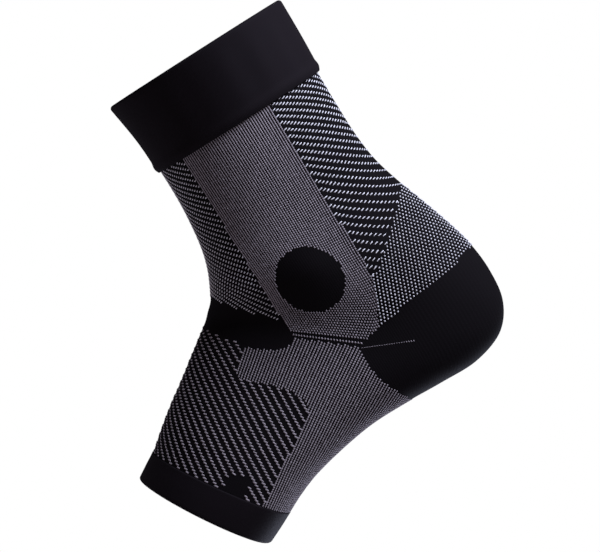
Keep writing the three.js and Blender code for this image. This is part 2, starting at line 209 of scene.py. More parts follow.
def section_table(f):
    """Sections of the form, each from its front point on the shin or instep to its back one on the
    tendon or sole.

    The columns are front x, front z, back x, back z, width, where it is widest from -1 in front to
    1 behind, and how sharp its front and back are: under 1 is squarer than an ellipse.
    """
    r = Reach(f)
    ahead, behind, heelward, toeward = r.ahead, r.behind, r.heelward, r.toeward
    up, down, instep, under = r.up, r.down, r.instep, r.under
    flare, calf, ankle = f.calf_flare, f.calf_width, f.ankle_width
    heel, ball = f.heel_width, f.ball_width
    return [
        (ahead(0) - flare, up(1), behind(0) + flare, up(1), calf, 0.05, 0.95, 1),
        (ahead(0), up(0.82), behind(0.08), up(0.82), 0.95 * calf, 0.02, 0.95, 1.02),
        (ahead(-0.005), up(0.66), behind(0.025), up(0.66), 0.9 * calf, -0.02, 0.95, 1.05),
        (ahead(0), up(0.52), behind(0), up(0.51), 0.85 * calf, -0.05, 0.93, 1.1),
        (ahead(0.017), up(0.4), behind(0), up(0.38), 1.03 * ankle, -0.08, 0.93, 1.15),
        (ahead(0.039), up(0.31), behind(0.07), up(0.26), ankle, -0.1, 0.93, 1.18),
        (ahead(0.071), up(0.236), behind(0.25), up(0.145), 1.01 * ankle, -0.1, 0.95, 1.18),
        (ahead(0.113), up(0.172), behind(0.5), up(0.02), 1.04 * ankle, -0.06, 0.97, 1.14),
        (ahead(0.145), up(0.132), behind(0.74), down(0.16), 1.06 * ankle, 0, 1, 1.08),
        (ahead(0.17), up(0.112), behind(0.94), down(0.36), 1.05 * heel, 0.06, 1, 1.02),
        (ahead(0.189), up(0.1), behind(1), down(0.57), 1.03 * heel, 0.1, 1, 0.96),
        (ahead(0.206), up(0.088), behind(0.87), down(0.775), 1.01 * heel, 0.14, 1, 0.92),
        (ahead(0.22), up(0.078), heelward(0.84), down(0.93), 1.01 * heel, 0.18, 1, 0.88),
        (ahead(0.239), up(0.066), heelward(0.615), down(1), 1.03 * heel, 0.22, 1, 0.82),
        (ahead(0.277), up(0.046), heelward(0.355), down(0.995), 1.06 * heel, 0.26, 1, 0.76),
        (ahead(0.332), up(0.018), heelward(0.095), down(0.98), 1.08 * heel, 0.3, 1, 0.72),
        (ahead(0.414), instep(0.075), toeward(0.142), down(0.977), 0.83 * ball, 0.32, 1, 0.7),
        (ahead(0.518), instep(0.242), toeward(0.352), under(0.02), 0.865 * ball, 0.32, 0.98, 0.7),
        (ahead(0.643), instep(0.434), toeward(0.557), under(0.2), 0.91 * ball, 0.3, 0.96, 0.7),
        (ahead(0.753), instep(0.62), toeward(0.693), under(0.4), 0.95 * ball, 0.28, 0.95, 0.72),
        (ahead(0.854), instep(0.8), toeward(0.805), under(0.62), 0.98 * ball, 0.25, 0.95, 0.74),
        (ahead(0.927), instep(0.9), toeward(0.904), under(0.82), 0.995 * ball, 0.22, 0.95, 0.76),
        (ahead(1), instep(1), toeward(1), under(1), ball, 0.2, 0.95, 0.78),
    ]


HEEL_TURN = 13  # the section along which the leg's knit turns into the foot's
HEEL_TOP = 9.6  # where that line lies at the back


class WornForm:
    """The surface the sleeve is stretched over. A place counts the sections, and a turn goes once
    round from the front, over the outer side first."""

    def __init__(self, sizes):
        self.sizes = sizes
        table = np.array(section_table(sizes))
        self.rows = np.vstack([2 * table[0] - table[1], table, 2 * table[-1] - table[-2]])
        self.last = len(table) - 1

    def values(self, place):
        before = np.clip(np.floor(place), 0, self.last - 1).astype(int)
        rows = [self.rows[before + k] for k in range(4)]
        return catmull_rom(*rows, (place - before)[..., None])

    def point(self, place, turn):
        place, turn = np.broadcast_arrays(place, turn)
        columns = np.moveaxis(self.values(place), -1, 0)
        front_x, front_z, back_x, back_z, width, widest, nose, tail = columns
        angle = 2 * np.pi * turn
        straight = -np.cos(angle)
        along = (1 + straight + widest * (1 - straight**2)) / 2
        squareness = nose + (tail - nose) * (1 + straight) / 2
        side = -np.sign(np.sin(angle)) * np.abs(np.sin(angle)) ** squareness
        x = front_x + along * (back_x - front_x)
        z = front_z + along * (back_z - front_z)
        swell = self.sizes.bone_rise * np.exp(-(x**2 + z**2) / (2 * self.sizes.bone_spread**2))
        return np.stack([x, side * (width / 2 + swell), z], -1)

    def skin(self, place, turn, offset):
        """The surface moved outwards by offset, square to itself."""
        nudge = 1e-3  # in sections and in turns
        down = self.point(place + nudge, turn) - self.point(place - nudge, turn)
        round_ = self.point(place, turn + nudge) - self.point(place, turn - nudge)
        outward = unit(np.cross(down, round_))
        return self.point(place, turn) + np.asarray(offset)[..., None] * outward

    def level_of(self, height):
        """The place whose front point is at a height."""
        places = np.linspace(-0.5, self.last, 2001)
        return np.interp(-np.asarray(height), -self.values(places)[:, 1], places)

    def place_from_rim(self, distance):
        """The place at a distance back from the toe opening, along the foot's middle."""
        places = np.linspace(self.last, self.last - 6, 1201)
        middle = (self.point(places, 0.0) + self.point(places, 0.5)) / 2
        return np.interp(distance, np.linalg.norm(middle - middle[0], axis=1), places)


class Chart:
    """Places and shares on the form. A share of 0 is its front and 1 its back, over the outer
    side."""

    def __init__(self, form, knit):
        self.form, self.knit = form, knit
        self.places = np.linspace(-0.45, form.last, 451)  # from a little above the cuff's fold
        self.shares = np.linspace(0, 1, knit.columns + 1)
        turns = np.linspace(0, 0.5, 241)
        steps = np.linalg.norm(np.diff(form.point(self.places[:, None], turns), axis=1), axis=-1)
        girth = np.cumsum(np.pad(steps, ((0, 0), (1, 0))), axis=1)
        self.turns = np.array([np.interp(self.shares * row[-1], row, turns) for row in girth])
        self.track = form.point(self.places[:, None], self.turns)
        steps = np.linalg.norm(np.diff(self.track, axis=0), axis=-1)
        self.depths = np.cumsum(np.pad(steps, ((1, 0), (0, 0))), axis=0)
        column, half = np.arange(knit.columns), knit.columns / 2
        self.round_shares = 1 - np.abs(1 - column / half)  # all the way round, back to the front
        self.round_sides = np.where(column > half, -1, 1)

    def look_up(self, grid, place, share):
        """A grid's value between its points."""
        row = (np.asarray(place, float) - self.places[0]) / (self.places[1] - self.places[0])
        column = np.asarray(share, float) * (len(self.shares) - 1)
        i = np.clip(np.floor(row), 0, len(self.places) - 2).astype(int)
        k = np.clip(np.floor(column), 0, len(self.shares) - 2).astype(int)
        u, v = row - i, column - k
        upper = grid[i, k] * (1 - v) + grid[i, k + 1] * v
        lower = grid[i + 1, k] * (1 - v) + grid[i + 1, k + 1] * v
        return upper * (1 - u) + lower * u

    def skin(self, place, share, offset):
        return self.form.skin(place, self.look_up(self.turns, place, share), offset)

    def rings(self, places, offsets):
        """Closed rings of points with their places and shares. places and offsets have one row for
        a ring, and one column or one for each column of faces."""
        places, offsets, share = np.broadcast_arrays(places, offsets, self.round_shares)
        points = self.skin(places, share, offsets)
        points[..., 1] *= self.round_sides
        return points, places, share

    def share_on_line(self, across, point):
        """At each place, the share at which the form's side crosses a line of the side view."""
        distances = (self.track[..., [0, 2]] - point) @ np.asarray(across)
        return np.array([np.interp(0, row, self.shares) for row in distances])

    def wall_ends(self):
        """The places between which the wall runs, from under the cuff to the toe band."""
        f = self.form.sizes
        start = self.form.level_of(f.cuff_reach - f.cuff_height + LAP)
        return float(start), float(self.form.place_from_rim(f.toe_band_height))


def count_wales(chart, across, pitch, start, weight):
    """How many wales there are from a start share to each point of the chart. They are counted
    across one direction of the side view, and what runs from side to side of the sleeve has a
    weight."""
    steps = np.diff(chart.track, axis=1)
    forward = steps[..., 0] * across[0] + steps[..., 2] * across[1]
    lengths = np.hypot(forward, weight * steps[..., 1])
    counts = np.cumsum(np.pad(lengths / pitch, ((0, 0), (1, 0))), axis=1)
    first = [[np.interp(at, chart.shares, row)] for at, row in zip(start, counts)]
    return counts - np.array(first)


class LegKnit:
    """The leg's stitches. Wales run straight down it and are counted from the line down the middle
    of the stirrup, courses from the hem. The knit is stretched behind the stirrup and drawn in
    before it."""

    def __init__(self, chart):
        self.chart, knit, f = chart, chart.knit, chart.form.sizes
        x = (chart.track[:, 1:, 0] + chart.track[:, :-1, 0]) / 2
        ahead = np.clip(-x / f.stirrup_front - 0.7, 0, 1)
        behind = np.clip(2 * x / f.stirrup_back - 1.6, 0, 1)
        low = np.clip((chart.places[:, None] - 2) / 6, 0, 1)  # from the calf down to the ankle
        pitch = knit.leg_wale + (knit.ankle_wale - knit.leg_wale) * low
        drawn_in, stretched = 0.22 + 0.16 * low, 0.16 + 0.55 * low**2
        pitch = pitch * (1 - drawn_in * ahead + stretched * behind)
        middle = chart.share_on_line((1, 0), (f.heel_cup_front, 0))
        weight = 1 - 0.3 * behind - 0.35 * ahead
        self.wales = count_wales(chart, (1, 0), pitch, middle, weight)
        hem = chart.form.level_of(f.cuff_reach - f.cuff_height)
        hem = np.interp(hem, chart.places, np.arange(len(chart.places)))
        # The last course follows the heel's turn, rises behind it, and lies lower at the instep
        apex = np.interp(HEEL_TURN, chart.places, middle)
        behind = np.clip((chart.shares - apex) / (1 - apex), 0, 1)
        ahead = np.clip(1 - 1.8 * chart.shares / apex, 0, 1)
        ends = HEEL_TURN + (HEEL_TOP - HEEL_TURN) * behind + 3 * ahead
        # Courses lie a little closer at the top, and a longer wale has its extra length low down
        usual = f.cuff_reach - 9 * MM  # the length that a wale has down the side
        share = np.linspace(-0.1, 1.3, 500)
        even = usual * (0.82 * share + 0.18 * share**2)
        late = np.clip(share, 0, None) ** 1.6
        self.courses = np.empty_like(chart.depths)
        for k, column in enumerate(chart.depths.T):
            start = np.interp(hem, np.arange(len(column)), column)
            end = np.interp(ends[k], chart.places, column)
            run = even + (end - start - usual) * late
            self.courses[:, k] = np.interp(column - start, run, share * knit.leg_courses)


class StraightKnit:
    """Stitches in straight rows in the side view. Their wales run along one direction, and both are
    counted from a point."""

    def __init__(self, chart, down, origin, wale, course, weight):
        self.chart = chart
        across = (-down[1], down[0])
        start = chart.share_on_line(across, origin)
        self.wales = count_wales(chart, across, wale, start, weight)
        self.courses = (chart.track[..., [0, 2]] - origin) @ np.asarray(down) / course


def foot_knit(chart):
    """The foot's stitches: wales along the instep's ridge, courses back from the toe band."""
    knit, form = chart.knit, chart.form
    ridge = (form.point(float(form.last), 0.0) - form.point(form.last - 5.0, 0.0))[[0, 2]]
    toe = form.point(form.place_from_rim(form.sizes.toe_band_height), 0.25)[[0, 2]]
    ease = np.clip((chart.places[:, None] - HEEL_TURN) / 5, 0, 1)
    wale = knit.arch_wale + (knit.toe_wale - knit.arch_wale) * ease
    return StraightKnit(chart, unit(ridge), toe, wale, knit.foot_course, weight=0.75)


def mesh_knit(chart):
    """The dotted knit's stitches, turned towards the heel."""
    turn = math.radians(22)
    down = (-math.sin(turn), -math.cos(turn))
    knit, f = chart.knit, chart.form.sizes
    middle = (0.7 * f.heel_reach, -0.1 * f.sole_drop)
    return StraightKnit(chart, down, middle, knit.dot_wale, knit.dot_course, weight=0.65)


def knit_map(patch, place, share):
    """The wale and course, counted in stitches, at places and shares."""
    grids = (patch.wales, patch.courses)
    return np.stack([patch.chart.look_up(grid, place, share) for grid in grids], -1)


class Stitches:
    """Every stitch of a patch of knit that is on the wall: its wale and course, its point on the
    form, and its directions there."""

    def __init__(self, patch):
        chart = patch.chart
        start, end = chart.wall_ends()
        step, aside = 0.04, 0.004  # sections and shares to either side, for the directions
        wale = np.arange(math.floor(patch.wales.min()), math.ceil(patch.wales.max()))
        course = np.arange(math.floor(patch.courses.min()), math.ceil(patch.courses.max()))
        lines = np.array([np.interp(wale + 0.5, row, chart.shares) for row in patch.wales]).T
        found = []
        for number, share in zip(wale, lines):
            depth = chart.look_up(patch.courses, chart.places, share)
            place = np.interp(course + 0.5, depth, chart.places)
            at = [np.interp(place + move, chart.places, share) for move in (-step, 0, step)]
            shown = (at[1] > 0) & (at[1] < 1) & (place > start) & (place < end)
            found.append(np.array([np.full(len(course), number), course, place, *at])[:, shown])
        self.wale, self.course, place, above, share, below = np.concatenate(found, axis=1)
        self.point = chart.skin(place, share, 0.0)
        self.side_view = self.point.T[[0, 2]]
        below, above = chart.skin(place + step, below, 0.0), chart.skin(place - step, above, 0.0)
        self.down = unit(below - above)
        back = chart.skin(place, share + aside, 0.0) - chart.skin(place, share - aside, 0.0)
        self.out = unit(np.cross(self.down, back))
        self.back = np.cross(self.out, self.down)


def chart_now():
    scene = bpy.context.scene
    return Chart(WornForm(scene.sleeve_form), scene.sleeve_knit)


# Zones, as outlines in the side view --------------------------------------------------------------


def curve(points, steps=8):
    """A smooth line through points."""
    p = np.array([points[0], *points, points[-1]], float)
    u = np.linspace(0, 1, steps, endpoint=False)[:, None]
    parts = [catmull_rom(*p[i : i + 4], u) for i in range(len(p) - 3)]
    return [tuple(q) for part in parts for q in part] + [tuple(p[-1])]


def zone_outlines(f):
    """The outline of each zone. Each border runs away from the stirrup, or down it. Most of its
    points are shares, forward or back, and up the leg or, below zero, down to the sole."""
    r = Reach(f)
    ahead, heelward, up, down = r.ahead, r.heelward, r.up, r.down

    def level(share):
        return up(share) if share > 0 else down(-share)

    def fore(*rows):
        return [(ahead(x), level(z)) for x, z in rows]

    def rear(*rows):
        return [(heelward(x), level(z)) for x, z in rows]

    def back(border):
        return border[::-1]

    hem = f.cuff_reach - f.cuff_height
    band_top_corner = (-f.stirrup_front, -f.band_tip)
    band_low_corner = (-f.stirrup_front, -f.band_tip - f.band_tip_height)
    heel_corner = (f.heel_cup_front, -f.heel_cup_drop)
    stirrup_foot = (0.6 * f.stirrup_back, -0.92 * f.heel_cup_drop)
    mesh_corner = (0.97 * f.stirrup_back, down(0.188))
    lobe_top, lobe_heel = fore((0.11, -0.146), (0.002, -0.68))

    stirrup_front_edge = [
        (-0.95 * f.stirrup_front, BEYOND),
        (-0.95 * f.stirrup_front, hem),
        (-f.stirrup_front, 0),
        band_top_corner,
    ]
    stirrup_back_edge = [
        (1.08 * f.stirrup_back, BEYOND),
        (1.08 * f.stirrup_back, hem),
        (1.01 * f.stirrup_back, up(0.3)),
        mesh_corner,
    ]
    stirrup_heel_edge = curve([mesh_corner, (0.82 * f.stirrup_back, down(0.31)), stirrup_foot])
    course_line = [band_low_corner, heel_corner]
    band_top = curve([band_top_corner, *fore((-0.02, 0.004), (0.042, 0.056), (0.136, 0.146))])
    band_top += fore((0.45, 0.36))
    band_heel_edge = curve([band_low_corner, *fore((-0.088, -0.274), (0.008, -0.232)), lobe_top])
    band_toe_edge = curve([lobe_top, *fore((0.148, -0.07), (0.212, 0.007), (0.246, 0.059))])
    band_toe_edge += fore((0.49, 0.32))
    lobe_upper = fore((0.222, -0.226), (0.226, -0.28), (0.18, -0.335))
    lobe_lower = fore((0.09, -0.43), (0.032, -0.51), (-0.004, -0.59))
    lobe = [lobe_top, *curve([*lobe_upper, *lobe_lower, lobe_heel])]
    arch_edge = [lobe_heel, *fore((1.48, -1.69))]
    heel_top_back = curve(
        [
            stirrup_foot,
            (heelward(0.432), -0.88 * f.heel_cup_drop),
            (heelward(0.707), -0.84 * f.heel_cup_drop),
            (heelward(0.99), -0.74 * f.heel_cup_drop),
        ]
    )
    heel_top_back.append((BEYOND, -0.5 * f.heel_cup_drop))
    heel_front = (0.7 * f.heel_cup_front, down(0.6))
    heel_toe = curve([heel_corner, heel_front, *rear((0.035, -0.74), (0.12, -0.95))])
    heel_toe += [*rear((0.21, -1.15)), (heelward(0.21), -BEYOND)]
    mesh_rows = rear((0.43, -0.143), (0.534, -0.061), (0.71, 0.052), (0.8, 0.108))
    mesh_top = [*curve([mesh_corner, *mesh_rows]), (BEYOND, up(1.2))]

    toes = ahead(1.48)
    stirrup_back = [*back(stirrup_heel_edge), *back(stirrup_back_edge)]
    arch_toe = [*back(arch_edge), *back(lobe), *back(band_heel_edge)]
    outlines = {
        "stirrup": [*stirrup_front_edge, *course_line, stirrup_foot, *stirrup_back],
        "shin": [*stirrup_front_edge, *band_top, (toes, up(0.36)), (toes, BEYOND)],
        "instep_band": [band_top_corner, *band_heel_edge, *band_toe_edge, *back(band_top)],
        "forefoot": [*back(band_toe_edge), *lobe, *arch_edge, (toes, up(0.32))],
        "arch": [*course_line, *heel_toe, (toes, -BEYOND), *arch_toe],
        "heel": [heel_corner, *heel_top_back, (BEYOND, -BEYOND), *back(heel_toe)],
        "mesh": [*stirrup_heel_edge, *heel_top_back, *back(mesh_top)],
        "achilles": [*stirrup_back_edge, *mesh_top, (BEYOND, BEYOND)],
        "disc": ankle_disc(f.disc_width / 2, f.disc_height / 2),
    }
    return {name: np.array(without_repeats(outline)) for name, outline in outlines.items()}


def ankle_disc(half_width, half_height, lean=math.radians(28)):
    """The ankle disc's outline, an oval whose long axis leans towards the toes."""
    angle = np.linspace(0, 2 * np.pi, 72, endpoint=False)
    wide, high = half_width * np.cos(angle), half_height * np.sin(angle)
    x = wide * math.cos(lean) - high * math.sin(lean)
    z = wide * math.sin(lean) + high * math.cos(lean)
    return [*zip(x, z)]


def without_repeats(outline, closest=1e-5):
    """An outline without the points that lie on the one before them."""
    return [p for i, p in enumerate(outline) if math.dist(p, outline[i - 1]) > closest]


def inside(outline, x, z):
    """Which points of the side view lie inside an outline."""
    x1, z1 = outline.T
    x2, z2 = np.roll(outline, -1, axis=0).T
    x, z = x[:, None], z[:, None]
    crosses = (z1 > z) != (z2 > z)
    with np.errstate(divide="ignore", invalid="ignore"):
        reach = x1 + (z - z1) / (z2 - z1) * (x2 - x1)
    return (crosses & (x < reach)).sum(1) % 2 == 1


# Meshes -------------------------------------------------------------------------------------------


def deselect_all():
    if bpy.context.object and bpy.context.object.mode != "OBJECT":
        bpy.ops.object.mode_set(mode="OBJECT")
    bpy.ops.object.select_all(action="DESELECT")


def pick(piece):
    """Makes a piece the one selected and active object."""
    deselect_all()
    piece.select_set(True)
    bpy.context.view_layer.objects.active = piece


def add_piece(name, points, faces, uvs=None):
    """A smooth mesh piece from its points and faces. uvs holds a wale and depth for each point."""
    mesh = bpy.data.meshes.new(name)
    mesh.from_pydata(points, [], faces)
    if uvs is not None:
        corners = np.empty(len(mesh.loops), np.int32)
        mesh.loops.foreach_get("vertex_index", corners)
        layer = mesh.uv_layers.new(name="knit")
        layer.data.foreach_set("uv", np.asarray(uvs, np.float32)[corners].ravel())
    mesh.shade_smooth()
    piece = bpy.data.objects.new(name, mesh)
    bpy.context.scene.collection.objects.link(piece)
    return piece


def face_outwards(piece):
    pick(piece)
    bpy.ops.object.mode_set(mode="EDIT")
    bpy.ops.mesh.select_all(action="SELECT")
    bpy.ops.mesh.normals_make_consistent(inside=False)
    bpy.ops.object.mode_set(mode="OBJECT")


def add_ring(name, points, uvs):
    """A closed shell from rings of points, each joined to the next and the last to the first."""
    rings, columns = points.shape[:2]
    i, k = np.meshgrid(np.arange(rings), np.arange(columns), indexing="ij")
    after, beside = (i + 1) % rings, (k + 1) % columns
    i, after = i * columns, after * columns
    faces = np.stack([i + k, after + k, after + beside, i + beside], -1).reshape(-1, 4)
    piece = add_piece(name, points.reshape(-1, 3), faces.tolist(), uvs.reshape(-1, 2))
    face_outwards(piece)
    return piece


def add_prism(outline, low, high):
    """An outline of the side view as a prism across the sleeve, to cut with."""
    count = len(outline)
    points = [(x, y, z) for y in (low, high) for x, z in outline]
    sides = [(i, (i + 1) % count, count + (i + 1) % count, count + i) for i in range(count)]
    ends = [tuple(range(count))[::-1], tuple(range(count, 2 * count))]
    prism = add_piece("cutter", points, [*ends, *sides])
    face_outwards(prism)
    return prism


def cut(piece, operation, outline, low, high):
    prism = add_prism(outline, low, high)
    pick(piece)
    modifier = piece.modifiers.new("cut", "BOOLEAN")
    modifier.operation = operation
    modifier.solver = "MANIFOLD"
    modifier.object = prism
    bpy.ops.object.modifier_apply(modifier=modifier.name)
    bpy.data.meshes.remove(prism.data)
    if not piece.data.polygons:
        raise RuntimeError(f"nothing is left of {piece.name}")


def dress(node, slot, piece, *extras):
    """Puts a sheet of knit and what is on it in the place of a CAD node."""
    for item in (piece, *extras):
        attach(item, "root")
        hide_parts(node)
    faces = np.empty(len(piece.data.polygons), np.float32)
    piece.data.polygons.foreach_get("area", faces)


# The corners of a stitch's cross-section, and all its points, as shares of its half length, half
# width and height
STITCH_RING = [(1, 0.0), (0.62, 0.78), (-0.62, 0.78), (-1, 0.0), (0, -0.6)]
STITCH_POINTS = [(x, y, z) for x in (-0.72, 0.72) for y, z in STITCH_RING]
STITCH_SHAPE = np.array([(-1, 0, 0.2), *STITCH_POINTS, (1, 0, 0.2)], float)
STITCH_FACES = [
    *[(0, 1 + (i + 1) % 5, 1 + i) for i in range(5)],
    *[(1 + i, 1 + (i + 1) % 5, 6 + (i + 1) % 5, 6 + i) for i in range(5)],
    *[(6 + i, 6 + (i + 1) % 5, 11) for i in range(5)],
]
TURN_SPREAD = 0.06  # how unevenly stitches are turned, in radians
SIZE_SPREAD = 0.05  # how unevenly they are sized, as a share
ALONG_COURSE, ALONG_WALE = 0, 90


def add_stitches(name, stitches, chosen, sides, size, turn_degrees, yarn_maker):
    """Joins a short length of yarn for each chosen stitch into one piece, on one side or both.

    size is a stitch's length, width and height, and turn_degrees is measured from the course,
    downwards. It is one number or one for each stitch.
    """
    wanted = np.flatnonzero(chosen)
    count = len(wanted)
    turn = np.radians(np.broadcast_to(turn_degrees, chosen.shape))[wanted, None]
    noise = np.random.default_rng(count)
    length, width, height = size
    parts = []
    for sign in sides:
        mirror = np.array([1, sign, 1])
        out = stitches.out[wanted] * mirror
        swing = turn + noise.normal(0, TURN_SPREAD, (count, 1))
        course, wale = np.cos(swing) * stitches.back[wanted], np.sin(swing) * stitches.down[wanted]
        along = (course + wale) * mirror
        spread = 1 + noise.normal(0, SIZE_SPREAD, (count, 3))
        half = np.array([length / 2, width / 2, height]) * spread
        axes = np.stack([along, np.cross(out, along), out], 1)
        parts.append(stitches.point[wanted, None] * mirror + STITCH_SHAPE * half[:, None] @ axes)
    points = np.concatenate(parts)
    starts = range(0, points.shape[0] * points.shape[1], len(STITCH_SHAPE))
    faces = [[start + corner for corner in face] for start in starts for face in STITCH_FACES]
    return material_for(add_piece(name, points.reshape(-1, 3), faces), yarn_maker)


# Materials ----------------------------------------------------------------------------------------


def add_node(tree, kind, settings, *values, **named):
    """Adds a shader node with its settings. A value is a socket to link, a constant, or None to
    leave alone."""
    node = tree.nodes.new(f"ShaderNode{kind}")
    for setting, value in settings.items():
        setattr(node, setting, value)
    inputs = dict(enumerate(values)) | {key.replace("_", " "): v for key, v in named.items()}
    for key, value in inputs.items():
        if isinstance(value, bpy.types.NodeSocket):
            tree.links.new(value, node.inputs[key])
        elif value is not None:
            node.inputs[key].default_value = value
    return node.outputs


def calculate(tree, operation, *values):
    return add_node(tree, "Math", {"operation": operation}, *values)[0]


def add_noise(tree, size, detail):
    """Noise whose features are about a size apart on the piece."""
    place = add_node(tree, "TexCoord", {})["Object"]
    return add_node(tree, "TexNoise", {}, place, None, 1 / size, detail)[0]


def new_surface(name, colour, roughness, **settings):
    """A material, its node tree and its shader, for the patterns that follow."""
    material = bpy.data.materials.new(name)
    material.use_nodes = True
    tree = material.node_tree
    shader = tree.nodes["Principled BSDF"]
    shader.inputs["Base Color"].default_value = (*colour, 1)
    shader.inputs["Roughness"].default_value = roughness
    for setting, value in settings.items():
        shader.inputs[setting.replace("_", " ")].default_value = value
    material.diffuse_color = (*colour, 1)
    return material, tree, shader


def set_bump(tree, shader, strength, depth, height):
    bump = add_node(tree, "Bump", {}, strength, depth, Height=height)[0]
    tree.links.new(bump, shader.inputs["Normal"])


def set_tone(tree, shader, colour, tone):
    """Makes the surface's colour darker and lighter by a tone about 1."""
    shade = add_node(tree, "VectorMath", {"operation": "SCALE"}, (*colour,), Scale=tone)[0]
    tree.links.new(shade, shader.inputs["Base Color"])


def jersey(name, colour, course, roughness):
    """Plain knit: columns of V-shaped stitches, on the piece's own map, which counts the columns
    across it. course is the height of a stitch on the map."""
    material, tree, shader = new_surface(name, colour, roughness, Specular_IOR_Level=0.02)
    knit = add_node(tree, "UVMap", {"uv_map": "knit"})[0]
    wale, down, _ = add_node(tree, "SeparateXYZ", {}, knit)
    within = calculate(tree, "PINGPONG", wale, 0.5)  # 0 between columns
    smooth = {"interpolation_type": "SMOOTHSTEP"}
    column = add_node(tree, "MapRange", smooth, within, 0.0, 0.5)[0]
    slant = calculate(tree, "MULTIPLY_ADD", down, 1 / course, within)
    leg = calculate(tree, "PINGPONG", slant, 0.5)
    stitch = calculate(tree, "MULTIPLY_ADD", leg, 1.1, 0.45)
    height = calculate(tree, "MULTIPLY", column, stitch)
    tension = add_noise(tree, 9 * MM, 2.0)  # uneven, in cloudy patches
    lift = calculate(tree, "MULTIPLY_ADD", tension, 0.6, height)
    set_bump(tree, shader, 1.0, 0.05 * MM, lift)
    # Painted shade: the colour is darker in the hollows between columns and stitches and lighter on
    # their crowns; the tension's cloudy patches also make it unevenly darker and lighter
    tone = add_node(tree, "MapRange", {}, lift, 0.15, 1.15, 0.92, 1.05)[0]
    set_tone(tree, shader, colour, tone)
    return material


def black_nylon_jersey():
    """Dope-dyed nylon 6.6 covered elastane, knitted on a fine circular machine. It is matt, and
    its colour holds painted shade between its columns, so only the crowns of the stitches show
    lighter."""
    return jersey("nylon_jersey_black", bpy.context.scene.sleeve_colours.black, 1.0, 0.9)


def black_nylon_welt():
    """The same nylon with a higher share of bare elastane, knitted tightly and doubled. Its columns
    are half as wide, and it has a slight sheen along the folds."""
    return jersey("nylon_welt_black", bpy.context.scene.sleeve_colours.welt, 0.8, 0.8)


def yarn(name, colour):
    """Textured multifilament polyester. The filaments scatter light, so it is matt and soft, and no
    two stitches have quite the same tone."""
    material, tree, shader = new_surface(
        name, colour, 0.8, Specular_IOR_Level=0.2, Sheen_Weight=0.1
    )
    stitch_tone = add_noise(tree, 1.2 * MM, 1.0)
    tone = add_node(tree, "MapRange", {}, stitch_tone, 0.3, 0.7, 0.78, 1.16)[0]
    set_tone(tree, shader, colour, tone)
    # Bundles of filaments, because single ones are too fine to show
    set_bump(tree, shader, 0.5, 0.05 * MM, add_noise(tree, 0.15 * MM, 1.0))
    return material


def pale_polyester_yarn():
    return yarn("polyester_yarn_pale", bpy.context.scene.sleeve_colours.pale)


# The grey support yarn, also used as painted shade on the forefoot's pale floats
def grey_yarn_and_painted_shade():
    return yarn("polyester_yarn_grey_and_painted_shade", bpy.context.scene.sleeve_colours.support)


def material_for(piece, maker):
    """Gives a piece its material, which is made once."""
    name = maker.__name__
    material = bpy.data.materials.get(bpy.context.scene.get(name, ""))
    if material is None:
        material = maker()
        bpy.context.scene[name] = material.name
    piece.data.materials.clear()
    piece.data.materials.append(material)
    return piece


# Pieces -------------------------------------------------------------------------------------------

SIDES = {"outer": 1, "inner": -1}  # the inner side is the outer one's mirror image
BOTH = tuple(SIDES.values())


def knitted_wall(patch):
    """The whole wall from under the cuff to the toe band, to cut panels from, mapped by a patch of
    knit."""
    chart = patch.chart
    places = np.linspace(*chart.wall_ends(), 150)[:, None]
    outer = chart.rings(places, 0.0)
    inner = chart.rings(places[::-1], -chart.knit.wall)
    points, place, share = (np.concatenate(pair) for pair in zip(outer, inner))
    return add_ring("wall", points, knit_map(patch, place, share))


def cut_panel(wall, name, outline, sign=0, hole=None):
    """A copy of the wall, cut to a zone's outline, on both sides or on the one of a sign."""
    low, high = sorted((0, -BEYOND * sign)) if sign else (-BEYOND, BEYOND)
    panel = bpy.data.objects.new(name, wall.data.copy())
    bpy.context.scene.collection.objects.link(panel)
    cut(panel, "INTERSECT", outline, low, high)
    if hole is not None:
        cut(panel, "DIFFERENCE", hole, low, high)
    panel.data.shade_smooth()
    pick(panel)
    bpy.ops.object.shade_smooth_by_angle(angle=math.radians(50))
    return material_for(panel, black_nylon_jersey)


class SLEEVE_OT_rib_panels(bpy.types.Operator):
    """Ribbed panels: black knit with diagonal rows of floats, on shin, tendon and forefoot"""

    bl_idname = "sleeve.rib_panels"
    bl_label = "Rib panels"

    def execute(self, context):
        chart = chart_now()
        knit, f = chart.knit, chart.form.sizes
        outlines = zone_outlines(f)
        leg, foot = LegKnit(chart), foot_knit(chart)
        # A patch beside the toe band has no floats
        bare = np.array([[-0.967 * f.lower_rim_reach], [-0.648 * f.lower_rim_drop]])
        bare_radius, rise = 5.8 * MM, 0.34 * MM
        # Each zone's floats have a size, a lean at the hem and at the heel's turn, and a yarn
        for patch, zone, length, width, lean, low_lean, maker in [
            (leg, "shin", knit.shin_dash, knit.dash_width, -36, -8, pale_polyester_yarn),
            (leg, "achilles", knit.tendon_dash, knit.dash_width, -12, -17, pale_polyester_yarn),
            # The forefoot's floats are of the pale yarn; the darker grey yarn here is painted shade
            (foot, "forefoot", knit.foot_dash, knit.foot_dash_width, 8, 8, grey_yarn_and_painted_shade),
        ]:
            wall, stitches = knitted_wall(patch), Stitches(patch)
            panel = cut_panel(wall, f"{zone}_rib_knit", outlines[zone])
            chosen = inside(outlines[zone], *stitches.side_view)
            chosen &= (stitches.wale - stitches.course) % 4 == 0
            chosen &= np.linalg.norm(stitches.side_view - bare, axis=0) > bare_radius
            turn = lean + (low_lean - lean) * stitches.course / knit.leg_courses
            size, name = (length, width, rise), f"{zone}_rib_floats"
            floats = add_stitches(name, stitches, chosen, BOTH, size, turn, maker)
            dress(f"{zone}_rib_panel", "ribbed_knit", panel, floats)
            bpy.data.meshes.remove(wall.data)
        return {"FINISHED"}


